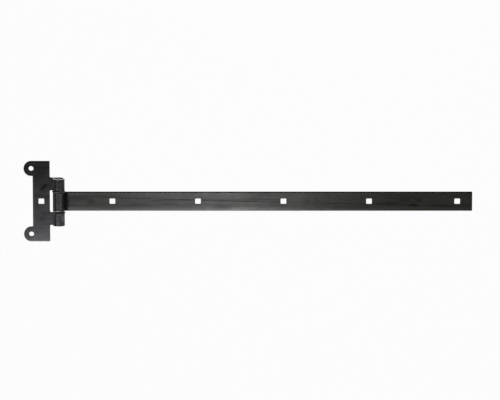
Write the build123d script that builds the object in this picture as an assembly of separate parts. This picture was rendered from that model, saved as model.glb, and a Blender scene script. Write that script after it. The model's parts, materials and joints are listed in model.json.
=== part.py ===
from build123d import *
import math
import os

# A long tee hinge for a door or gate, lying on its back as it would on a wall.
# X runs along the strap, Y along the pin and Z out of the wall.
# The origin lies on the wall plane, straight behind the middle of the pin.
# The strap and the fixing plate are each one piece of flat steel, rolled at one edge
# round a riveted pin. A loose washer fills the gap at each end of the strap's knuckle.

# Strap, in millimetres
strap_reach = 800.0
strap_width = 37.5
strap_thickness = 5.0
strap_edge_radius = 1.5
strap_end_chamfer = 0.7
strap_hole_count = 4
strap_first_hole = 103.5
strap_hole_pitch = 165.6
strap_end_margin = 29.0

# Fixing plate
plate_height = 158.0
plate_thickness = 5.0
plate_near_edge = 17.5
plate_far_edge = 50.5
plate_edge_chamfer = 0.5
plate_corner_radius = 1.0
plate_square_hole_offset = 34.0
notch_radius = 2.5

# Ears of the fixing plate, one at each end of its far edge
ear_radius = 14.5
ear_offset = 53.5
ear_hole_diameter = 9.5
ear_root_radius = 1.5

# Square holes for the necks of coach bolts
square_hole = 11.0
square_hole_corner = 1.6
hole_rim_chamfer = 0.35

# Barrel and pin
barrel_length = 93.0
pin_diameter = 13.0
running_fit = 0.05
roll_end_gap = 0.8
rivet_head_diameter = 18.5
rivet_head_rim = 0.4
rivet_head_height = 1.5

# Washers
washer_thickness = 2.0
washer_diameter = 25.0
washer_bore = 15.0
washer_edge_chamfer = 0.25
washer_side_play = 1.0

# Places that follow from the sizes
pin_radius = pin_diameter / 2
bore_radius = pin_radius + running_fit
axis_height = bore_radius + plate_thickness
pin_axis = Axis((0, 0, axis_height), (0, 1, 0))
strap_back = axis_height - bore_radius - strap_thickness
knuckle_gap = strap_width + 2 * (washer_thickness + washer_side_play)
knuckle_length = (barrel_length - knuckle_gap) / 2
tab_middle = (knuckle_gap + knuckle_length) / 2
ear_height = plate_height / 2 - ear_radius
touching = 0.001
cut_margin = 1.0


def roll_angle(thickness):
    """Degrees that a leaf is rolled round the pin before its cut end nears its own face."""
    outer = bore_radius + thickness
    open_part = math.degrees(math.acos((outer - thickness - roll_end_gap) / outer))
    return 360 - open_part


def section_place(centre_y, back, thickness):
    """The plane straight behind the pin in which a leaf's cross section is drawn."""
    return Plane((0, centre_y, back + thickness / 2), x_dir=(0, 1, 0), z_dir=(1, 0, 0))


def edges_on_faces(solid, back, thickness):
    """The edges that lie in the back or the front face of a flat leaf."""
    return [
        edge
        for edge in solid.edges()
        if min(abs(edge.center().Z - back), abs(edge.center().Z - back - thickness)) < touching
    ]


def punch_square_holes(solid, centres, back, thickness):
    """Punches a square hole for a coach bolt's neck at each place and breaks its rims."""
    outline = RectangleRounded(square_hole, square_hole, square_hole_corner)
    for x in centres:
        solid -= extrude(Pos(x, 0, back - cut_margin) * outline, thickness + 2 * cut_margin)
    reach = 0.6 * square_hole
    rims = [
        edge
        for edge in edges_on_faces(solid, back, thickness)
        if abs(edge.center().Y) < reach
        and any(abs(edge.center().X - x) < reach for x in centres)
    ]
    return chamfer(rims, hole_rim_chamfer)


def strap_hole_centres():
    """Evenly spaced holes from the pin, and one more close to the free end."""
    row = [strap_first_hole + n * strap_hole_pitch for n in range(strap_hole_count)]
    return row + [strap_reach - strap_end_margin]


def make_strap():
    """A flat bar with rounded edges, its root rolled over the front of the pin."""
    bar_section = RectangleRounded(strap_width, strap_thickness, strap_edge_radius)
    section = section_place(0, strap_back, strap_thickness) * bar_section
    bar = extrude(section, strap_reach)
    bar = chamfer(bar.faces().sort_by(Axis.X)[-1].edges(), strap_end_chamfer)
    bar = punch_square_holes(bar, strap_hole_centres(), strap_back, strap_thickness)
    return bar + revolve(section, pin_axis, roll_angle(strap_thickness))


def corners_at(outline, x, reach):
    """The corners of an outline on the line at x, as far as the reach to each side."""
    return [
        corner
        for corner in outline.vertices()
        if abs(corner.X - x) < touching and abs(corner.Y) < reach
    ]


def plate_outline():
    """The flat sheet seen from the front: a tall body, two round ears and two tabs."""
    body_width = plate_far_edge - plate_near_edge
    body_middle = -(plate_far_edge + plate_near_edge) / 2
    outline = Pos(body_middle, 0) * Rectangle(body_width, plate_height)
    outline = fillet(outline.vertices().group_by(Axis.X)[-1], plate_corner_radius)
    ear_bridge = Rectangle(ear_offset - plate_far_edge, ear_radius)
    bridge_x = -(ear_offset + plate_far_edge) / 2
    bridge_y = plate_height / 2 - ear_radius / 2
    for side in (1, -1):
        outline += Pos(-ear_offset, side * ear_height) * Circle(ear_radius)
        outline += Pos(bridge_x, side * bridge_y) * ear_bridge
    outline = fillet(corners_at(outline, -plate_far_edge, ear_height), ear_root_radius)
    tab = Rectangle(plate_near_edge, knuckle_length)
    for side in (1, -1):
        outline += Pos(-plate_near_edge / 2, side * tab_middle) * tab
    notches = corners_at(outline, -plate_near_edge, barrel_length / 2 + touching)
    return fillet(notches, notch_radius)


def make_hinge_plate():
    """The fixing plate: a punched sheet whose two tabs are rolled round the pin."""
    sheet = extrude(plate_outline(), plate_thickness)
    for side in (1, -1):
        sheet -= Pos(-ear_offset, side * ear_height, plate_thickness / 2) * Cylinder(
            ear_hole_diameter / 2, plate_thickness + 2 * cut_margin
        )
    rims = [
        edge
        for edge in edges_on_faces(sheet, 0, plate_thickness)
        if edge.center().X < -touching
    ]
    sheet = chamfer(rims, plate_edge_chamfer)
    sheet = punch_square_holes(sheet, [-plate_square_hole_offset], 0, plate_thickness)
    tab_end = Rectangle(knuckle_length, plate_thickness)
    tab_end = chamfer(tab_end.vertices(), plate_edge_chamfer)
    for side in (1, -1):
        section = section_place(side * tab_middle, 0, plate_thickness) * tab_end
        sheet += revolve(section, pin_axis, -roll_angle(plate_thickness))
    return sheet


def rivet_head():
    """A low domed head that stands on the XY plane."""
    radius = rivet_head_diameter / 2
    rise = rivet_head_height - rivet_head_rim
    dome = (radius**2 + rise**2) / (2 * rise)
    blank = extrude(Circle(radius), rivet_head_height)
    return blank & Pos(0, 0, rivet_head_height - dome) * Sphere(dome)


def make_hinge_pin():
    """A plain shank with each end hammered over into a low domed head."""
    pin = Cylinder(pin_radius, barrel_length)
    pin += Pos(0, 0, barrel_length / 2) * rivet_head()
    pin += Pos(0, 0, -barrel_length / 2) * Rot(180, 0, 0) * rivet_head()
    return Pos(0, 0, axis_height) * Rot(90, 0, 0) * pin


def make_washer(side):
    """A washer against a plate knuckle, slid forward until its bore meets the pin."""
    slide = washer_bore / 2 - pin_radius - running_fit
    middle = side * (knuckle_gap / 2 - washer_thickness / 2)
    disc = Cylinder(washer_diameter / 2, washer_thickness)
    disc -= Cylinder(washer_bore / 2, washer_thickness + 2 * cut_margin)
    rims = disc.edges().filter_by(GeomType.CIRCLE).group_by(SortBy.RADIUS)[-1]
    disc = chamfer(rims, washer_edge_chamfer)
    return Pos(0, middle, axis_height + slide) * Rot(90, 0, 0) * disc


parts = {
    "strap": make_strap(),
    "hinge_plate": make_hinge_plate(),
    "hinge_pin": make_hinge_pin(),
    "upper_washer": make_washer(1),
    "lower_washer": make_washer(-1),
}

os.makedirs("parts", exist_ok=True)
for name, solid in parts.items():
    export_step(solid, f"parts/{name}.step")
    print(name, round(solid.volume), "mm3")
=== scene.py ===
# %% [markdown]
# # A long tee hinge, dressed for its picture
# This lesson takes the exact model of a black tee hinge and gives it the finish that the
# real one has. The shapes come from the design, so nothing is fitted by eye: the lesson
# adds the camera, the light, the coatings and the small marks that hammering, punching and
# handling leave on real steel. X runs along the strap, Y along the pin, and Z out of the
# wall that the hinge is made for, which is up towards the camera here. Blender counts in
# metres. Places on the steel are written in millimetres and turned into metres on the way.

# %% Load the frame
import json
import math

import bmesh
import bpy
import numpy as np
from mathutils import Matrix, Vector

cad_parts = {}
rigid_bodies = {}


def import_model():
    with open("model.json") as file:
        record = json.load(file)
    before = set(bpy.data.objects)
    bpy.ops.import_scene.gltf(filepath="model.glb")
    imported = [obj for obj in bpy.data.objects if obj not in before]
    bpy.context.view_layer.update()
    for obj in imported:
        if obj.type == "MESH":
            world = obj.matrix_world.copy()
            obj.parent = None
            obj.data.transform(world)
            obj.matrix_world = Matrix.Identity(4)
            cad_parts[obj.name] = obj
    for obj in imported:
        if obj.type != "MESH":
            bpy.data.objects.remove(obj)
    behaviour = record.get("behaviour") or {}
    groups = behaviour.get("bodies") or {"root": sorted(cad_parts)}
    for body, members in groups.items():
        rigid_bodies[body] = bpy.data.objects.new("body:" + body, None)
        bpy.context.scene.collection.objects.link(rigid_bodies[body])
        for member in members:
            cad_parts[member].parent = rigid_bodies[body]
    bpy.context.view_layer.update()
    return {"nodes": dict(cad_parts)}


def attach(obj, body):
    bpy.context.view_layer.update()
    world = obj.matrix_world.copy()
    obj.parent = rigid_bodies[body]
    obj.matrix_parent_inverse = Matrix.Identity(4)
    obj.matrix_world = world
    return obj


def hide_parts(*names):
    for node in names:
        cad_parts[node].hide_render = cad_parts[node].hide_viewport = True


for leftover in list(bpy.data.objects):
    bpy.data.objects.remove(leftover)
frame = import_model()
scene = bpy.context.scene
print("nodes:", sorted(frame["nodes"]))

# %% [markdown]
# ## The camera
# The photograph looks almost straight down, leaning about eleven degrees back from the
# hinge's lower side, so that the thin faces along its top edges show as a dark line. A long
# lens far away keeps the strap's two edges parallel. The camera could be turned by hand
# until the picture fits, but a distance, a lean and a scale say the same thing in numbers.
# The Standard view shows every colour as it is written.

# %% Place the camera
millimetre = 0.001
camera_distance = 9.0
camera_lean = math.radians(11.0)
picture_width_px = 500
size_of_a_pixel = 1.9366 * millimetre
sensor_width_mm = 36.0
picture_centre = Vector((0.3699, 0.0018, 0.0))
nearest_seen, farthest_seen = 0.1, 60.0

camera_data = bpy.data.cameras.new("camera")
camera = bpy.data.objects.new("camera", camera_data)
scene.collection.objects.link(camera)
away = Vector((0.0, math.sin(camera_lean), math.cos(camera_lean)))
camera.location = picture_centre + camera_distance * away
camera.rotation_euler = (-camera_lean, 0.0, 0.0)
camera_data.sensor_width = sensor_width_mm
width_seen = picture_width_px * size_of_a_pixel
camera_data.lens = sensor_width_mm * camera_distance / width_seen
camera_data.clip_start, camera_data.clip_end = nearest_seen, farthest_seen
scene.camera = camera
scene.view_settings.view_transform = "Standard"
print("lens", round(camera_data.lens, 1), "mm, seeing", round(width_seen, 3), "m across")

# %% [markdown]
# ## Making materials from nodes
# Every finish in this lesson is a small network of nodes. Clicking one together by hand is
# slow to repeat, so short helpers do it. They empty a tree, add a node to it and plug in
# whatever is handed over.

# %% Add and plug nodes


def plug(tree, node, inputs):
    """Links each input that is handed a socket, and sets each that is handed a value."""
    for key, value in inputs.items():
        socket = node.inputs[key]
        if isinstance(value, bpy.types.NodeSocket):
            tree.links.new(value, socket)
        else:
            socket.default_value = value


def add_node(tree, kind, inputs=None, **settings):
    """Adds a node of that kind with its settings and what is plugged into it."""
    node = tree.nodes.new(kind)
    for key, value in settings.items():
        setattr(node, key, value)
    plug(tree, node, inputs or {})
    return node


def empty_tree(owner):
    """The node tree of a new material or world, with nothing in it."""
    owner.use_nodes = True
    owner.node_tree.nodes.clear()
    return owner.node_tree


print("ready to add nodes and plug them together")

# %% [markdown]
# ## Sums with nodes
# Wear is worked out with sums, and each sum is a node too. These helpers chain as many of
# them as there are numbers, so that a product of four reads as one line.

# %% Do sums with nodes


def math_node(tree, operation, first, *others, clamp=False):
    """The first number worked on by each of the others in turn, from left to right."""
    for value in others or (0.0,):
        node = add_node(
            tree,
            "ShaderNodeMath",
            {0: first, 1: value},
            operation=operation,
            use_clamp=clamp,
        )
        first = node.outputs[0]
    return first


def product(tree, *values):
    """The numbers multiplied."""
    return math_node(tree, "MULTIPLY", *values)


def total(tree, *values, clamp=False):
    """The numbers added, and held between 0 and 1 if clamp is set."""
    return math_node(tree, "ADD", *values, clamp=clamp)


def largest(tree, *values):
    """The largest of the numbers."""
    return math_node(tree, "MAXIMUM", *values)


print("ready to multiply, add and compare")

# %% [markdown]
# ## The floor
# The hinge is held face up over a pale floor, which lies deep enough for the strap to swing
# down behind the plate without reaching it. One large square is all that a floor needs.

# %% Lay the floor
floor_size = 14.0
floor_drop = 0.85
corners = floor_size * np.array([[-1, -1], [1, -1], [1, 1], [-1, 1]]) / 2
corners = np.column_stack([corners, np.full(4, -floor_drop)])
floor_mesh = bpy.data.meshes.new("pale_floor")
floor_mesh.from_pydata(corners.tolist(), [], [(0, 1, 2, 3)])
floor = bpy.data.objects.new("pale_floor", floor_mesh)
scene.collection.objects.link(floor)
print("floor", floor_size, "m wide,", floor_drop, "m below the hinge")

# %% [markdown]
# ## The floor's paint
# A camera would see the floor grey wherever the light falls off. Stronger lamps would cure
# that, but they would bleach the hinge too. So the floor glows white for the eye of the
# camera and for reflections in the steel, and only a faint part of it is ordinary matt
# paint that takes a shadow.

# %% Paint the floor
white = (1.0, 1.0, 1.0, 1.0)
matt_white = (0.86, 0.86, 0.86, 1.0)
glow_share = 0.97
floor_paint = bpy.data.materials.new("white_floor")
tree = empty_tree(floor_paint)
matt = add_node(tree, "ShaderNodeBsdfDiffuse", {"Color": matt_white})
glow = add_node(tree, "ShaderNodeEmission", {"Color": white, "Strength": 1.0})
rays = add_node(tree, "ShaderNodeLightPath").outputs
seen = largest(
    tree, rays["Is Camera Ray"], rays["Is Glossy Ray"], rays["Is Transmission Ray"]
)
share = product(tree, seen, glow_share)
mixed = add_node(
    tree, "ShaderNodeMixShader", {0: share, 1: matt.outputs[0], 2: glow.outputs[0]}
)
add_node(tree, "ShaderNodeOutputMaterial", {"Surface": mixed.outputs[0]})
floor_mesh.materials.append(floor_paint)
print("floor wears", floor_paint.name)

# %% [markdown]
# ## The lamps
# Black steel shows little but what it mirrors, so each lamp is placed for the mark that it
# leaves. One big dome would be simpler, but the strap would look flat under it. A soft box
# above the middle of the strap makes its broad sheen, and a weaker one keeps the free end
# from going black. The key lamp rakes in low from the lower left: it lights the barrel and
# throws its short shadow on the strap. Two small lamps do the rest: one lifts the plate's
# lower end, and one with a narrow beam, well to the right, lifts the top of the barrel.

# %% Hang the lamps


def hang_lamp(name, place, aim, size, watts, beam):
    """A rectangular lamp at a place that faces a point, its beam that many degrees wide."""
    data = bpy.data.lights.new(name, "AREA")
    data.shape = "RECTANGLE"
    data.size, data.size_y = size
    data.energy = watts
    data.spread = math.radians(beam)
    lamp = bpy.data.objects.new(name, data)
    lamp.location = place
    lamp.rotation_euler = (Vector(aim) - Vector(place)).to_track_quat("-Z", "Y").to_euler()
    lamp.visible_camera = False
    scene.collection.objects.link(lamp)
    print(name, "shines with", watts, "W")


# Each lamp's place, the point that it faces and its two sides, all in metres, then its
# power in watts and its beam in degrees
lamps = {
    "strap_lamp": ((0.29, -0.10, 0.50), (0.44, 0.0, 0.0), (0.22, 0.12), 0.48, 100.0),
    "end_lamp": ((0.74, -0.10, 0.50), (0.74, 0.0, 0.0), (0.22, 0.12), 0.052, 100.0),
    "plate_lamp": ((-0.03, -0.17, 0.20), (-0.035, -0.11, 0.0), (0.05, 0.05), 0.026, 60.0),
    "key_lamp": ((-0.27, -0.59, 0.45), (0.13, -0.03, 0.0), (0.12, 0.12), 0.74, 44.0),
    "barrel_lamp": ((0.30, -0.11, 0.41), (0.004, 0.0, 0.015), (0.05, 0.08), 0.0033, 11.0),
}
for name, facts in lamps.items():
    hang_lamp(name, *facts)

# %% [markdown]
# ## The room
# The room is bright near the horizon, dim overhead, and a little brighter on the lower
# side, as beside a window. Walls could be built for that, but a world that works out its
# brightness from the direction of a ray does the same. It is the light overhead, plus the
# wall times the twelfth power of 1 minus the square of the ray's rise, plus the window
# times the square of how far the ray leans to the lower side.

# %% Light the room
overhead, wall, window = 0.035, 0.96, 0.25
wall_power = 12.0
room = bpy.data.worlds.new("room")
scene.world = room
tree = empty_tree(room)
direction = add_node(tree, "ShaderNodeTexCoord").outputs["Generated"]
apart = add_node(tree, "ShaderNodeSeparateXYZ", {"Vector": direction}).outputs
rise_squared = math_node(tree, "POWER", apart["Z"], 2.0)
flatness = math_node(tree, "SUBTRACT", 1.0, rise_squared)
horizon = math_node(tree, "POWER", flatness, wall_power)
lean = largest(tree, product(tree, apart["Y"], -1.0), 0.0)
lower_side = math_node(tree, "POWER", lean, 2.0)
level = total(
    tree, product(tree, horizon, wall), overhead, product(tree, lower_side, window)
)
room_light = add_node(tree, "ShaderNodeBackground", {"Color": white, "Strength": level})
add_node(tree, "ShaderNodeOutputWorld", {"Surface": room_light.outputs[0]})
print("room", overhead, "overhead and", round(overhead + wall, 3), "at the horizon")

# %% [markdown]
# ## Where the coating wears
# Coated steel goes grey first where something rubs it: along its long edges, on the rims of
# its knuckles and where two pieces turn against each other. That could be painted on, vertex
# by vertex. Here the finish works it out from the piece's own coordinates instead: how far
# a point is from an edge line or from the pin says how worn it is, and a noise breaks the
# line up later. Some of these places are painted highlights rather than wear, and some dark
# places are painted shade; each says so. First come the measures.

# %% Measure a point on the steel
pin_height = 11.55 * millimetre


def axes_of(tree, place):
    """The three coordinates of a point as separate numbers, in metres."""
    apart = add_node(tree, "ShaderNodeSeparateXYZ", {"Vector": place}).outputs
    return apart["X"], apart["Y"], apart["Z"]


def away_from(tree, value, middle=0.0):
    """How far a number is from a middle value, whichever side it lies."""
    return math_node(tree, "ABSOLUTE", math_node(tree, "SUBTRACT", value, middle))


def from_the_pin(tree, x, z):
    """How far a point is from the pin's axis, the root of the sum of two squares."""
    offset = add_node(tree, "ShaderNodeCombineXYZ", {0: x, 1: z})
    far = add_node(
        tree,
        "ShaderNodeVectorMath",
        {0: offset.outputs[0], 1: (0.0, pin_height, 0.0)},
        operation="DISTANCE",
    )
    return far.outputs["Value"]


print("the pin's axis lies", round(pin_height / millimetre, 2), "mm above the back")

# %% [markdown]
# ## From a measure to a share
# A measure becomes a share from 0 to 1 by stretching a short range of it. A colour ramp
# does that too, but a range can be given in millimetres, as on a drawing.

# %% Turn a measure into a share


def spread(tree, value, low, high, to_low=0.0, to_high=1.0):
    """Stretches the range from low to high over the range from to_low to to_high."""
    node = add_node(
        tree,
        "ShaderNodeMapRange",
        {"Value": value, 1: low, 2: high, 3: to_low, 4: to_high},
        clamp=True,
    )
    return node.outputs[0]


def fade(tree, value, start, full):
    """0 as far as the start and 1 from where it is full, both given in millimetres. The
    start may be the larger of the two."""
    return spread(tree, value, start * millimetre, full * millimetre)


def band(tree, value, low, high, blur):
    """1 where a measure lies between low and high, fading to 0 over the blur on each side,
    all given in millimetres."""
    rising = fade(tree, value, low - blur, low)
    falling = fade(tree, value, high + blur, high)
    return product(tree, rising, falling)


print("ready to fade over millimetres")

# %% [markdown]
# ## The strap's rubbed edges and painted highlights
# The strap's lower long edge is painted lighter than the upper one, as a painted highlight
# where light from the lower side catches its rounded edge; the upper edge is a little rubbed,
# and both lessen towards the free end. The lower end of its knuckle is painted light too,
# as a painted highlight, and its upper end is worn where its washer turns, and so is the
# line of its far end. Below, two numbers say where a wear or a highlight starts and where
# it is full, and three say from where to where a worn line lies and over what width it fades.

# %% Rub the strap
# The lower edge's range is a painted highlight, where light from the lower side catches it.
lower_edge_highlight = (-7.0, -16.8)
upper_edge_wear, upper_edge_share = (9.0, 16.5), 0.22
far_place, far_share = 0.77, 0.30
near_place, near_share = 0.40, 0.85
past_the_knuckle = (12.0, 20.0)
strap_knuckle = (12.0, 10.5)
# The lower rim's range is a painted highlight too.
lower_rim_lit = (-16.8, -17.6)
upper_rim_wear, upper_rim_share = (16.8, 18.0), 0.5
far_end_line, far_end_share = (796.5, 799.0, 1.0), 0.2


def strap_worn_and_lit(tree, x, y, z):
    """How rubbed the strap is, with painted highlights on its lower edge and on the lower rim
    of its knuckle. The lower edge's highlight grows with the square of the way to it, the rest
    evenly, and both long edges lessen towards the free end."""
    lower = math_node(tree, "POWER", fade(tree, y, *lower_edge_highlight), 2.0)
    upper = product(tree, fade(tree, y, *upper_edge_wear), upper_edge_share)
    lessening = spread(tree, x, far_place, near_place, far_share, near_share)
    flat_part = fade(tree, x, *past_the_knuckle)
    edges = product(tree, largest(tree, lower, upper), lessening, flat_part)
    lower_rim = fade(tree, y, *lower_rim_lit)
    upper_rim = product(tree, fade(tree, y, *upper_rim_wear), upper_rim_share)
    knuckle = fade(tree, x, *strap_knuckle)
    rims = product(tree, largest(tree, lower_rim, upper_rim), knuckle)
    far_end = product(tree, band(tree, x, *far_end_line), far_end_share)
    return largest(tree, edges, rims, far_end)


print("strap's edges wear", near_share, "near the barrel and", far_share, "far from it")

# %% [markdown]
# ## The plate's rubbed edges and painted highlights
# On the plate the rims of the knuckles are worn. Its left edge gets a painted highlight, a
# light line just inside it, and a patch on the right of the lower knuckle is painted lighter
# too, as a painted reflection; it is made in the same way, as a place where a band up the
# barrel crosses a band along it.

# %% Rub the plate
barrel_skin = (12.5, 11.8)
inner_rim_line, outer_rim_line = (21.7, 22.8, 0.6), (45.2, 46.6, 0.6)
# The left edge's line is a painted highlight, and the patch below is a painted reflection.
left_edge_highlight_line, left_edge_highlight_share = (-48.8, -47.4, 1.0), 0.35
highlight_patch_height, highlight_patch_width = (-36.0, -26.0, 4.0), (7.0, 10.5, 3.0)


def plate_worn_and_lit(tree, x, y, z):
    """How rubbed the plate is: the rims of its knuckles, or the painted highlights on its left
    edge and on the patch on its lower knuckle, whichever is the most."""
    barrel = fade(tree, from_the_pin(tree, x, z), *barrel_skin)
    height = away_from(tree, y)
    inner_rim = band(tree, height, *inner_rim_line)
    outer_rim = band(tree, height, *outer_rim_line)
    rims = product(tree, largest(tree, inner_rim, outer_rim), barrel)
    left_edge_highlight = product(tree, band(tree, x, *left_edge_highlight_line), left_edge_highlight_share)
    highlight_patch = product(tree, band(tree, y, *highlight_patch_height), band(tree, x, *highlight_patch_width))
    return largest(tree, rims, left_edge_highlight, highlight_patch)


# The left edge's share printed is that of its painted highlight.
print("plate's left edge wears", left_edge_highlight_share)

# %% [markdown]
# ## The strap's dark sides and painted shade
# The narrow sides that the shears and the punch cut are painted nearly black, as painted
# shade, and so is the rounded upper edge. They could be told from the faces by their normals,
# but a rounded edge has every normal in between, so their height is used instead. The barrel's
# shadow is painted dark in the crease where the strap leaves its knuckle, painted shade runs in
# a thin line down the barrel's left flank, and the flat ends of the strap's knuckle inside the
# joints are painted dark as painted shade.

# %% Darken the strap's sides
# Painted shade: a thin dark line down the barrel's left flank.
flank_shade_line, flank_shade_share = (-7.2, -5.8, 1.3), 0.8
flank_shade_height = (10.0, 12.0)
below_the_strap_face = (4.9, 4.4)
above_the_back = (0.02, 0.15)
below_the_rubbed_edge = (4.1, 3.5)
clear_of_the_rubbed_edge = (-17.2, -16.5)
# Painted shade over the strap's rounded upper edge, which faces away from the light.
strap_upper_edge_shade = (16.8, 17.6)
past_the_barrel = (14.0, 18.0)
# Painted shadow: the barrel's shadow on the strap, in the crease where it leaves its knuckle.
crease_shadow_line, crease_shadow_share = (8.0, 15.0, 2.0), 0.75
# Painted shade on the flat ends of the strap's knuckle inside the joints.
in_the_joint = (18.4, 18.7)
inside_the_barrel = (14.0, 12.0)


def barrel_flank_shade(tree, x, z):
    """How dark the painted shade is in the thin line down the left flank of the barrel."""
    line = product(tree, band(tree, x, *flank_shade_line), flank_shade_share)
    return product(tree, line, fade(tree, z, *flank_shade_height))


def strap_sides_and_shade(tree, x, y, z):
    """1 on the strap's narrow sides, in its holes and over its rounded upper edge, as painted
    shade, 0 on its faces and over its rounded lower edge, which is painted lighter, and up to 1
    where shade is painted on its knuckle and in the crease beside it."""
    side = product(
        tree, fade(tree, z, *below_the_strap_face), fade(tree, z, *above_the_back)
    )
    kept_dark = largest(
        tree, fade(tree, z, *below_the_rubbed_edge), fade(tree, y, *clear_of_the_rubbed_edge)
    )
    upper_edge_shade = fade(tree, y, *strap_upper_edge_shade)
    dark = product(
        tree,
        largest(tree, product(tree, side, kept_dark), upper_edge_shade),
        fade(tree, x, *past_the_barrel),
    )
    crease_shadow = product(tree, band(tree, x, *crease_shadow_line), crease_shadow_share)
    joint_shade = product(
        tree, fade(tree, away_from(tree, y), *in_the_joint), fade(tree, x, *inside_the_barrel)
    )
    return largest(tree, dark, crease_shadow, joint_shade, barrel_flank_shade(tree, x, z))


# The two shares printed are the painted shadow in the crease and the painted shade down the
# flank.
print("grime", crease_shadow_share, "in the crease and", flank_shade_share, "down the flank")

# %% [markdown]
# ## The plate's dark sides and painted shade
# The plate was sheared square, with hardly a rounded edge, so its sides are painted dark closer
# to the face, as painted shade. Its upper edge is painted dark as well, as painted shade: the
# thin dark line that the leaning camera sees.

# %% Darken the plate's sides
below_the_plate_face = (4.9, 4.6)
plate_upper_edge_shade = (76.8, 77.8)
left_of_the_barrel = (-11.0, -13.0)


def plate_sides_and_shade(tree, x, y, z):
    """1 on the plate's sheared edges, in its holes and over its upper edge, as painted shade,
    and 0 on its faces. The painted shade line runs down its knuckles too."""
    side = product(
        tree, fade(tree, z, *below_the_plate_face), fade(tree, z, *above_the_back)
    )
    dark = product(
        tree,
        largest(tree, side, fade(tree, y, *plate_upper_edge_shade)),
        fade(tree, x, *left_of_the_barrel),
    )
    return largest(tree, dark, barrel_flank_shade(tree, x, z))


print("plate's sides are full dark", below_the_plate_face[1], "mm above its back")

# %% [markdown]
# ## The bare steel
# The lower rim of the strap's knuckle is painted bright, as a painted highlight, and the upper
# one a little, where it is polished against its washer. The flat outer ends of the plate's
# knuckles were ground bare, and only a ring of each shows round the pin's head. A second
# material could be given to those faces, but a share in the same one keeps each leaf in one
# slot.

# %% Bare the steel
# The lower rim's shine is a painted highlight; the upper rim's is a little polish.
lower_rim_highlight_line, lower_rim_highlight_share = (-18.2, -16.7, 0.3), 0.20
upper_shine_line, upper_shine_share = (16.7, 18.2, 0.3), 0.03
ground_ring = (8.8, 11.7, 0.3)
ground_end = (45.8, 46.2)


def strap_bare_and_highlight(tree, x, y, z):
    """A little above 0 on the two rims of the strap's knuckle: a painted highlight on the lower
    one and a little polish on the upper one.
    """
    lower = product(tree, band(tree, y, *lower_rim_highlight_line), lower_rim_highlight_share)
    upper = product(tree, band(tree, y, *upper_shine_line), upper_shine_share)
    return product(tree, largest(tree, lower, upper), fade(tree, x, *strap_knuckle))


def plate_bare(tree, x, y, z):
    """1 on the flat outer ends of the plate's two knuckles."""
    ring = band(tree, from_the_pin(tree, x, z), *ground_ring)
    return product(tree, fade(tree, away_from(tree, y), *ground_end), ring)


print("ground rings from", ground_ring[0], "to", ground_ring[1], "mm round the pin")

# %% [markdown]
# ## The black coating's patterns
# No coating is the same all over, so every finish here is stirred with noise. A photographed
# texture would do it too, but it repeats and it has a fixed sharpness, and a noise has
# neither fault. A stretched noise gives the long marks of rolling. Each pattern's numbers
# stand under its own name, just above the finish that uses it.

# %% Start a material and its patterns


def start_material(name):
    """A new material with its tree, its Principled shader and the object's coordinates."""
    material = bpy.data.materials.new(name)
    tree = empty_tree(material)
    shader = add_node(tree, "ShaderNodeBsdfPrincipled")
    add_node(tree, "ShaderNodeOutputMaterial", {"Surface": shader.outputs["BSDF"]})
    place = add_node(tree, "ShaderNodeTexCoord").outputs["Object"]
    return material, tree, shader, place


def noise(tree, place, scale, detail, roughness=0.55, along=1.0, between=None, gives=(0, 1)):
    """A cloudy pattern with that many clouds in a metre, and along times as many in X. What
    lies between two values of it is stretched over the two values that it gives."""
    mapped = add_node(
        tree, "ShaderNodeMapping", {"Vector": place, "Scale": (along, 1.0, 1.0)}
    )
    settings = {"Scale": scale, "Detail": detail, "Roughness": roughness}
    cloud = add_node(tree, "ShaderNodeTexNoise", {"Vector": mapped.outputs[0], **settings})
    clouds = cloud.outputs["Fac"]
    return clouds if between is None else spread(tree, clouds, *between, *gives)


def blend_colours(tree, amount, first, second):
    """The first colour where amount is 0, the second where it is 1."""
    node = add_node(
        tree,
        "ShaderNodeMix",
        {0: amount, 6: first, 7: second},
        data_type="RGBA",
        blend_type="MIX",
    )
    return node.outputs[2]


print("ready to stir a finish with noise")

# %% [markdown]
# ## The black coating's colour
# The strap and the plate are steel under a thin black coating. It isn't a pure black: the
# strap drifts from a cool grey-green at the barrel to a warm brown at its end, and the plate
# is a touch bluer. One flat colour would look like plastic, so slow noise moves the colour,
# and over it lie the worn places and painted highlights, specks of dust, the dark sides and
# painted shade, and the bare steel.

# %% Colour the coating
# The colour of the worn places and of the painted highlights.
rubbed_and_lit_colour = (0.082, 0.081, 0.080, 1.0)
dust_colour = (0.10, 0.098, 0.092, 1.0)
# The colour of the dark sides and of all painted shade.
side_and_shade_colour = (0.0055, 0.0055, 0.0062, 1.0)
bare_colour = (0.80, 0.79, 0.78, 1.0)
tint_clouds = dict(
    scale=16.0, detail=4.0, roughness=0.6, between=(0.32, 0.68), gives=(-0.35, 0.35)
)
dust_specks = dict(
    scale=1300.0, detail=1.0, roughness=0.5, between=(0.735, 0.76), gives=(0.0, 0.55)
)


def coat_colour(tree, place, tints, drift, worn_and_lit, sides_and_shade, bright):
    """The two tints, mixed by the drift and slow clouds, and over them the colours of the
    worn places and painted highlights, the specks of dust, the sheared sides and painted
    shade, and the bare steel, in that order."""
    clouds = noise(tree, place, **tint_clouds)
    specks = noise(tree, place, **dust_specks)
    colour = blend_colours(tree, total(tree, drift, clouds, clamp=True), *tints)
    colour = blend_colours(tree, worn_and_lit, colour, rubbed_and_lit_colour)
    colour = blend_colours(tree, specks, colour, dust_colour)
    colour = blend_colours(tree, sides_and_shade, colour, side_and_shade_colour)
    return blend_colours(tree, bright, colour, bare_colour)


print("rubbed places are", round(rubbed_and_lit_colour[0] / side_and_shade_colour[0]), "times the sides' level")

# %% [markdown]
# ## The black coating's gloss and relief
# The coating is duller in some patches than in others, and a rubbed place is a little
# smoother. It has a fine orange peel, the steel under it isn't quite flat, and the shears
# pulled the plate's upper and lower edge over. So the gloss gets its own noise, and three
# bumps, one on another, shape how the surface takes the light.

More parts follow.
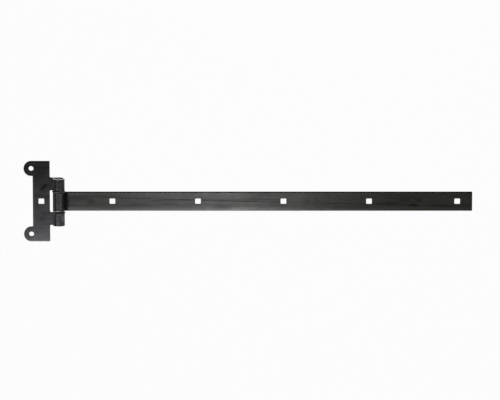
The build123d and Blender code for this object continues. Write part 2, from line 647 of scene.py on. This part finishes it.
# %% Make the coating dull and uneven
worn_gloss = 0.1
pulled_edge = (76.4, 79.0)
swell_depth, pulled_depth, peel_depth = 1.2, 0.8, 0.1
peel_strength = 0.35
swells = dict(scale=24.0, detail=2.0, roughness=0.45)
peel = dict(scale=850.0, detail=2.0)
dull_patches = dict(
    scale=34.0, detail=7.0, roughness=0.7, along=0.4, between=(0.3, 0.7), gives=(0.42, 0.58)
)
dull_streaks = dict(
    scale=230.0, detail=3.0, roughness=0.6, along=0.05, between=(0.3, 0.7), gives=(-0.04, 0.04)
)


def coat_dullness(tree, place, worn_and_lit):
    """Long patches and fine streaks added, less a little where the coating is worn or painted
    lighter.
    """
    patches = noise(tree, place, **dull_patches)
    streaks = noise(tree, place, **dull_streaks)
    polish = product(tree, worn_and_lit, worn_gloss)
    return math_node(tree, "SUBTRACT", total(tree, patches, streaks), polish)


def bump(tree, height, depth, strength=1.0, under=None):
    """A relief of that depth in millimetres where the height is 1, over the one under it."""
    inputs = {"Height": height, "Strength": strength, "Distance": depth * millimetre}
    if under is not None:
        inputs["Normal"] = under
    return add_node(tree, "ShaderNodeBump", inputs).outputs[0]


def coat_relief(tree, place, y):
    """Slow swells, the plate's pulled-over edge and fine peel. The edge's height falls from
    1 with the square of the way to it."""
    near = fade(tree, away_from(tree, y), *pulled_edge)
    edge = math_node(tree, "SUBTRACT", 1.0, math_node(tree, "POWER", near, 2.0))
    swollen = bump(tree, noise(tree, place, **swells), swell_depth)
    pulled = bump(tree, edge, pulled_depth, under=swollen)
    return bump(tree, noise(tree, place, **peel), peel_depth, peel_strength, pulled)


print("swells of", swell_depth, "mm under a peel of", peel_depth, "mm")

# %% [markdown]
# ## The two coatings
# Both leaves get the same recipe with their own tints, wear, painted highlights and painted
# shade. Copying a material and changing it would work too, but every change to the recipe
# would then be made twice. A dark side, painted shade, grime and bare steel count as metal,
# because a coating would mirror the pale room at a flat angle and turn light there.

# %% Mix the two coatings
strap_drift, plate_drift = (300.0, 700.0), (20.0, -70.0)
strap_tints = (0.0125, 0.0130, 0.0120, 1.0), (0.0180, 0.0178, 0.0085, 1.0)
plate_tints = (0.0105, 0.0108, 0.0125, 1.0), (0.0150, 0.0140, 0.0190, 1.0)
broken_wear = dict(
    scale=420.0, detail=5.0, roughness=0.7, between=(0.38, 0.62), gives=(0.55, 1.0)
)
long_grime = dict(
    scale=150.0, detail=6.0, roughness=0.62, along=0.06, between=(0.48, 0.70), gives=(0.0, 0.55)
)


def along_the_strap(tree, x, y):
    """0 at the barrel and 1 at the strap's free end."""
    return fade(tree, x, *strap_drift)


def down_the_plate(tree, x, y):
    """0 at the plate's upper end and 1 at its lower end."""
    return fade(tree, y, *plate_drift)


def black_coating(name, tints, drift, rubbed_and_lit, darkening, bare):
    """Coated steel in two tints. The drift gives the share of the second tint, the next
    function the worn places and painted highlights, which a fine noise breaks up, the next the
    sheared sides and painted shade, and the last the bare steel and a painted highlight."""
    material, tree, shader, place = start_material(name)
    x, y, z = axes_of(tree, place)
    worn_and_lit = product(tree, rubbed_and_lit(tree, x, y, z), noise(tree, place, **broken_wear))
    sides_and_shade, bright = darkening(tree, x, y, z), bare(tree, x, y, z)
    tint_share = drift(tree, x, y)
    finish = {
        "Base Color": coat_colour(tree, place, tints, tint_share, worn_and_lit, sides_and_shade, bright),
        "Metallic": largest(tree, sides_and_shade, bright, noise(tree, place, **long_grime)),
        "Roughness": coat_dullness(tree, place, worn_and_lit),
        "Normal": coat_relief(tree, place, y),
    }
    plug(tree, shader, finish)
    return material, tree, shader, place


strap_coat = black_coating(
    "strap_coating", strap_tints, along_the_strap, strap_worn_and_lit, strap_sides_and_shade, strap_bare_and_highlight
)
plate_coat = black_coating(
    "plate_coating", plate_tints, down_the_plate, plate_worn_and_lit, plate_sides_and_shade, plate_bare
)
print("coatings:", strap_coat[0].name, plate_coat[0].name)

# %% [markdown]
# ## The scratch
# One long hairline scratch wanders down the strap's face. A picture of it could be drawn and
# wrapped on, but a curve does the same: it gives the scratch's height for each place along
# the strap, and the points that lie within a hair of it turn darker.

# %% Draw the scratch
# Places along the strap and heights across it, in millimetres
scratch_points = np.array(
    [[112.0, 6.8], [258.0, 3.2], [422.0, -1.8], [566.0, -4.6], [690.0, -7.7], [775.0, -9.1]]
)
scratch_start, scratch_end = scratch_points[[0, -1], 0].tolist()
scratch_reach = 10.0
scratch_edge = (0.9, 0.2)
scratch_fade = 10.0


def hairline(tree, x, y):
    """1 on the scratch and 0 beside it. A curve turns the way along the strap, from 0 to 1,
    into the scratch's height, also from 0 to 1 across its reach."""
    curve = add_node(
        tree, "ShaderNodeFloatCurve", {"Value": fade(tree, x, scratch_start, scratch_end)}
    )
    ways = (scratch_points[:, 0] - scratch_start) / (scratch_end - scratch_start)
    ups = (scratch_points[:, 1] + scratch_reach) / (2.0 * scratch_reach)
    first, *inner, last = np.column_stack([ways, ups]).tolist()
    points = curve.mapping.curves[0].points
    points[0].location, points[-1].location = first, last
    for way, up in inner:
        points.new(way, up)
    curve.mapping.update()
    reach = scratch_reach * millimetre
    height = spread(tree, curve.outputs[0], 0.0, 1.0, -reach, reach)
    line = fade(tree, away_from(tree, y, height), *scratch_edge)
    return product(tree, line, band(tree, x, scratch_start, scratch_end, scratch_fade))


print("scratch", round(scratch_end - scratch_start), "mm long")

# %% [markdown]
# ## The smudges
# There are thumb-sized smudges near the strap's end and close to its barrel. The plate has a
# short slanting mark beside its upper knuckle, a painted shadow of the barrel, and a few faint
# darker patches. They could be painted by hand. Each is a soft oval here, whose outline a
# noise bends until it looks like one.

# %% Press the smudges
# Each smudge's x, y, half length and half height, in millimetres, and its strength
strap_smudges = [
    (686.0, -7.2, 17.0, 3.2, 0.9),
    (698.0, 1.8, 9.0, 5.0, 0.6),
    (668.0, 1.0, 14.0, 4.5, 0.45),
    (62.0, -1.0, 12.0, 11.0, 0.45),
    (640.0, -4.0, 40.0, 6.0, 0.35),
    (100.0, -13.0, 30.0, 4.0, 0.25),
]
plate_smudges_and_shadow = [
    # The first two are the painted shadow of the barrel on the plate, the rest faint darker
    # patches.
    (-28.5, 28.6, 17.0, 6.8, 0.9),
    (-25.0, 29.0, 20.0, 12.0, 0.35),
    (-35.0, 56.0, 36.0, 30.0, 0.40),
    (-33.0, -34.0, 14.0, 10.0, 0.35),
    (-39.0, 50.0, 12.0, 12.0, 0.45),
]
plate_slant = math.radians(43.0)
outline_wobble = 6.0 * millimetre
wobbles, wobble_detail = 160.0, 4.0
any_depth = 1000.0
smudge_rim, smudge_core = 1.0, 0.2
broken_scratch = dict(scale=35.0, detail=3.0, between=(0.3, 0.6), gives=(0.25, 0.9))


def smudges(tree, place, patches, turn=0.0):
    """A soft oval at each patch: its strength in the middle and 0 at its two half sizes,
    measured in a place that a noise has moved."""
    wobble = add_node(
        tree,
        "ShaderNodeTexNoise",
        {"Vector": place, "Scale": wobbles, "Detail": wobble_detail},
    )
    moved = add_node(
        tree,
        "ShaderNodeVectorMath",
        {0: wobble.outputs["Color"], 1: (outline_wobble, outline_wobble, 0.0), 2: place},
        operation="MULTIPLY_ADD",
    )
    ovals = []
    for *sizes, strength in patches:
        patch_x, patch_y, length, height = np.multiply(sizes, millimetre).tolist()
        middle = (patch_x + outline_wobble / 2, patch_y + outline_wobble / 2, 0.0)
        local = add_node(
            tree,
            "ShaderNodeMapping",
            {
                "Vector": moved.outputs[0],
                "Location": middle,
                "Rotation": (0.0, 0.0, turn),
                "Scale": (length, height, any_depth),
            },
            vector_type="TEXTURE",
        )
        far = add_node(
            tree, "ShaderNodeVectorMath", {0: local.outputs[0]}, operation="LENGTH"
        )
        way_out = far.outputs["Value"]
        ovals.append(spread(tree, way_out, smudge_rim, smudge_core, 0.0, strength))
    return largest(tree, *ovals)


def strap_marks(tree, place, x, y):
    """The broken scratch or the smudges of the strap, whichever is the most."""
    scratch = product(tree, hairline(tree, x, y), noise(tree, place, **broken_scratch))
    return largest(tree, scratch, smudges(tree, place, strap_smudges))


def plate_marks_and_shadow(tree, place, x, y):
    """The painted shadow of the barrel, a slanting dark mark beside the upper knuckle, and the
    faint darker patches.
    """
    return smudges(tree, place, plate_smudges_and_shadow, plate_slant)


print(len(strap_smudges), "smudges on the strap and", len(plate_smudges_and_shadow), "on the plate")

# %% [markdown]
# ## Putting the marks on
# The marks go over the finished coatings: what is plugged into a shader is taken, changed
# and plugged in again. Handling only reaches the front faces, so only they get marks, and the
# plate's painted shadow of the barrel lies on its front face too. Then the coatings replace the
# plain materials of the two leaves.

# %% Coat the strap and the plate
mark_and_shadow_colour = (0.008, 0.008, 0.007, 1.0)
mark_share, mark_dullness = 0.7, 0.10
front_face = (4.7, 4.9)


def mark(coat, marks):
    """Darkens and dulls a coating where marks is near 1, on the front faces only; on the plate
    that includes the painted shadow of the barrel.
    """
    _, tree, shader, place = coat
    x, y, z = axes_of(tree, place)
    amount = product(tree, marks(tree, place, x, y), fade(tree, z, *front_face))
    names = "Base Color", "Roughness", "Metallic"
    colour, dullness, metal = [shader.inputs[name].links[0].from_socket for name in names]
    inked = product(tree, amount, mark_share)
    finish = {
        "Base Color": blend_colours(tree, inked, colour, mark_and_shadow_colour),
        "Roughness": total(tree, dullness, product(tree, amount, mark_dullness)),
        "Metallic": largest(tree, metal, amount),
    }
    plug(tree, shader, finish)


def dress(node, material):
    """Gives a piece of the design its material in every slot."""
    for material_slot in frame["nodes"][node].material_slots:
        material_slot.material = material
    print(node, "wears", material.name)


mark(strap_coat, strap_marks)
mark(plate_coat, plate_marks_and_shadow)
dress("strap", strap_coat[0])
dress("hinge_plate", plate_coat[0])

# %% [markdown]
# ## The washers
# The two washers are stamped from thin steel and never coated as thickly as the leaves. They
# are dark from oil and rubbing, with fine rings where they turn against the knuckles. The
# upper one is painted lighter than the lower one, as a painted highlight, and the lower one
# darker, as painted shade. The rings could be cut into the mesh, but they are a fraction of a
# millimetre wide, so they are simply a wave of the distance to the pin's axis that moves the
# light.

# %% Finish the washers
ring_wave = 16000.0
ring_depth, ring_strength = 0.03, 0.25
steel_stains = dict(scale=300.0, detail=5.0, roughness=0.65, between=(0.48, 0.58))
steel_clouds = dict(scale=500.0, detail=4.0, between=(0.3, 0.7))
washer_dullness = (0.42, 0.58)
washer_rim = (11.8, 12.3)
# A lit and a shaded copy of one steel: the upper washer's tints are a painted highlight, the
# lower one's painted shade.
lit_and_shaded_washer_tints = {
    "upper_washer": ((0.018, 0.018, 0.018, 1.0), (0.080, 0.079, 0.077, 1.0)),
    "lower_washer": ((0.012, 0.012, 0.013, 1.0), (0.040, 0.040, 0.041, 1.0)),
}


def turned_steel(name, dark, bright, dullness, rim, glare=1.0):
    """Steel with fine rings round the pin, the sine of the radius times the ring wave, from
    dark to bright in stains. Over the rim the bright steel takes over. glare is the share
    that is left of clean metal's shine at a flat angle, less than 1 on an oily skin."""
    material, tree, shader, place = start_material(name)
    x, _, z = axes_of(tree, place)
    radius = from_the_pin(tree, x, z)
    rings = math_node(tree, "SINE", product(tree, radius, ring_wave))
    stains = noise(tree, place, **steel_stains)
    polished = fade(tree, radius, *rim)
    finish = {
        "Base Color": blend_colours(tree, largest(tree, stains, polished), dark, bright),
        "Metallic": 1.0,
        "Specular Tint": (glare, glare, glare, 1.0),
        "Roughness": noise(tree, place, gives=dullness, **steel_clouds),
        "Normal": bump(tree, rings, ring_depth, ring_strength),
    }
    plug(tree, shader, finish)
    return material


for node, tints in lit_and_shaded_washer_tints.items():
    dress(node, turned_steel(node + "_finish", *tints, washer_dullness, washer_rim))

# %% [markdown]
# ## The hammered pin
# A plain shank runs through the barrel, and each end was hammered over into a low dome. The
# dome of the design is perfectly smooth. The real one is a patchwork of flats that the
# hammer left, and it shows as a broken bright crescent at the barrel's end. So the pin is
# made again as a surface of revolution, and its profile comes first.

# %% Shape the head
shank_radius, head_radius = 6.5 * millimetre, 9.25 * millimetre
head_rim, head_height = 0.4 * millimetre, 1.5 * millimetre
steps_across = 40
crowding = 0.8


def head_profile():
    """Radius and height of the head from its middle out and down to the shank: a shallow
    dome whose height falls with the square of the radius, a short rim and a flat underside.
    The radius grows with a power of the step, the crowding, so the steps differ a little."""
    radius = head_radius * np.linspace(0.0, 1.0, steps_across) ** crowding
    share = radius / head_radius
    height = head_rim + (head_height - head_rim) * (1.0 - share**2)
    under = np.array([[head_radius, 0.0], [shank_radius, 0.0]])
    return np.vstack([np.column_stack([radius, height]), under])


print("head's profile has", len(head_profile()), "points")

# %% [markdown]
# ## The hammer blows
# Each blow left a shallow round dish, and the dishes overlap. They could be pressed in one by
# one with a sculpting brush, but a seeded draw of their places, sizes and depths gives the
# same head every time.

# %% Strike the head
blow_count = 26
blow_places = (0.02, 0.98)
dish_radius = (1.5, 3.2)
weakest_blow = 0.4
blow_depth = 0.32 * millimetre


def blows(x, z, seed):
    """How deep the hammer marks are at points of the head. Each blow is a shallow round dish:
    its depth falls with the square of the distance from where it fell."""
    rng = np.random.default_rng(seed)
    angle = rng.uniform(0.0, 2.0 * np.pi, blow_count)
    out = head_radius * np.sqrt(rng.uniform(*blow_places, blow_count))
    size = rng.uniform(*dish_radius, blow_count) * millimetre
    depth = rng.uniform(weakest_blow, 1.0, blow_count) * blow_depth
    across = x[..., None] - out * np.cos(angle)
    up = z[..., None] - out * np.sin(angle)
    gap = across**2 + up**2
    return np.max(depth * np.clip(1.0 - gap / size**2, 0.0, None), axis=-1)


print(blow_count, "blows on each head, up to", blow_depth / millimetre, "mm deep")

# %% [markdown]
# ## Spinning the pin
# The profile is spun round the pin's axis, and the points of the head sink where a blow
# fell, but never through its rim. A Screw modifier can spin a profile too. With the points
# in an array, the blows can be taken off all of them at once.

# %% Spin the pin
half_barrel = 46.5 * millimetre
thinnest_head = 0.15 * millimetre
steps_round = 128
upper_seed, lower_seed = 5, 11


def pin_grid(end, seed):
    """Half of the pin: the head's profile and then the shank, spun round the pin's axis."""
    profile = head_profile()
    middle = np.array([[shank_radius, -half_barrel]])
    radius, height = np.vstack([profile, middle]).T
    angle = np.linspace(0.0, 2.0 * np.pi, steps_round, endpoint=False)
    x = radius[:, None] * np.cos(angle)
    z = radius[:, None] * np.sin(angle)
    sunk = blows(x, z, seed)
    sunk[steps_across:] = 0.0
    room = np.clip(height[:, None] - thinnest_head, 0.0, None)
    y = height[:, None] - np.minimum(sunk, room)
    return np.stack([x, end * (half_barrel + y), z + pin_height], axis=-1)


def skin(grid, flip):
    """The faces of a grid that closes on itself round the pin, turned over if flip is set."""
    rows, columns = grid.shape[:2]
    here = np.arange(rows * columns).reshape(rows, columns)
    right = np.roll(here, -1, axis=1)
    quads = np.stack([here[:-1], right[:-1], right[1:], here[1:]], axis=-1).reshape(-1, 4)
    return quads[:, ::-1] if flip else quads


def make_pin():
    """Both halves of the pin in one mesh, the lower one's points after the upper one's."""
    upper, lower = pin_grid(1, upper_seed), pin_grid(-1, lower_seed)
    points = np.vstack([upper.reshape(-1, 3), lower.reshape(-1, 3)])
    faces = np.vstack([skin(upper, False), skin(lower, True) + upper[..., 0].size])
    mesh = bpy.data.meshes.new("hammered_pin")
    mesh.from_pydata(points.tolist(), [], faces.tolist())
    return mesh


pin_mesh = make_pin()
print("pin faces:", len(pin_mesh.polygons))

# %% [markdown]
# ## Joining the pin's halves
# The two halves meet in the middle of the shank, and at each pole a whole row of points
# lies in one place. Merging the points that coincide closes both. A crease stays where two
# faces meet at more than 35 degrees, as at the rim of a head, and the rest is smooth. Then
# the pin goes to the plate's body, where it stands in for the plain pin of the design.

# %% Join the pin
merge_distance = 0.001 * millimetre
crease_angle = math.radians(35.0)
work = bmesh.new()
work.from_mesh(pin_mesh)
bmesh.ops.remove_doubles(work, verts=work.verts, dist=merge_distance)
bmesh.ops.recalc_face_normals(work, faces=work.faces)
work.to_mesh(pin_mesh)
work.free()
pin_mesh.shade_smooth()
pin_mesh.set_sharp_from_angle(angle=crease_angle)
hammered_pin = bpy.data.objects.new("hammered_pin", pin_mesh)
scene.collection.objects.link(hammered_pin)
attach(hammered_pin, "plate")
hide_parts("hinge_pin")
print("pin faces once joined:", len(pin_mesh.polygons))

# %% [markdown]
# ## The pin's finish
# The hammer left the head bright where it struck and dark in between, and its rim is the
# brightest. It is the washers' turned steel again, in a lighter tint and with more gloss,
# and an oily skin takes most of the glare away at a flat angle.

# %% Finish the pin
pin_dark, pin_bright = (0.020, 0.020, 0.021, 1.0), (0.50, 0.49, 0.48, 1.0)
pin_dullness = (0.34, 0.48)
pin_rim = (8.9, 9.3)
pin_glare = 0.08
pin_finish = turned_steel(
    "pin_finish", pin_dark, pin_bright, pin_dullness, pin_rim, pin_glare
)
pin_mesh.materials.append(pin_finish)
print(hammered_pin.name, "wears", pin_finish.name)
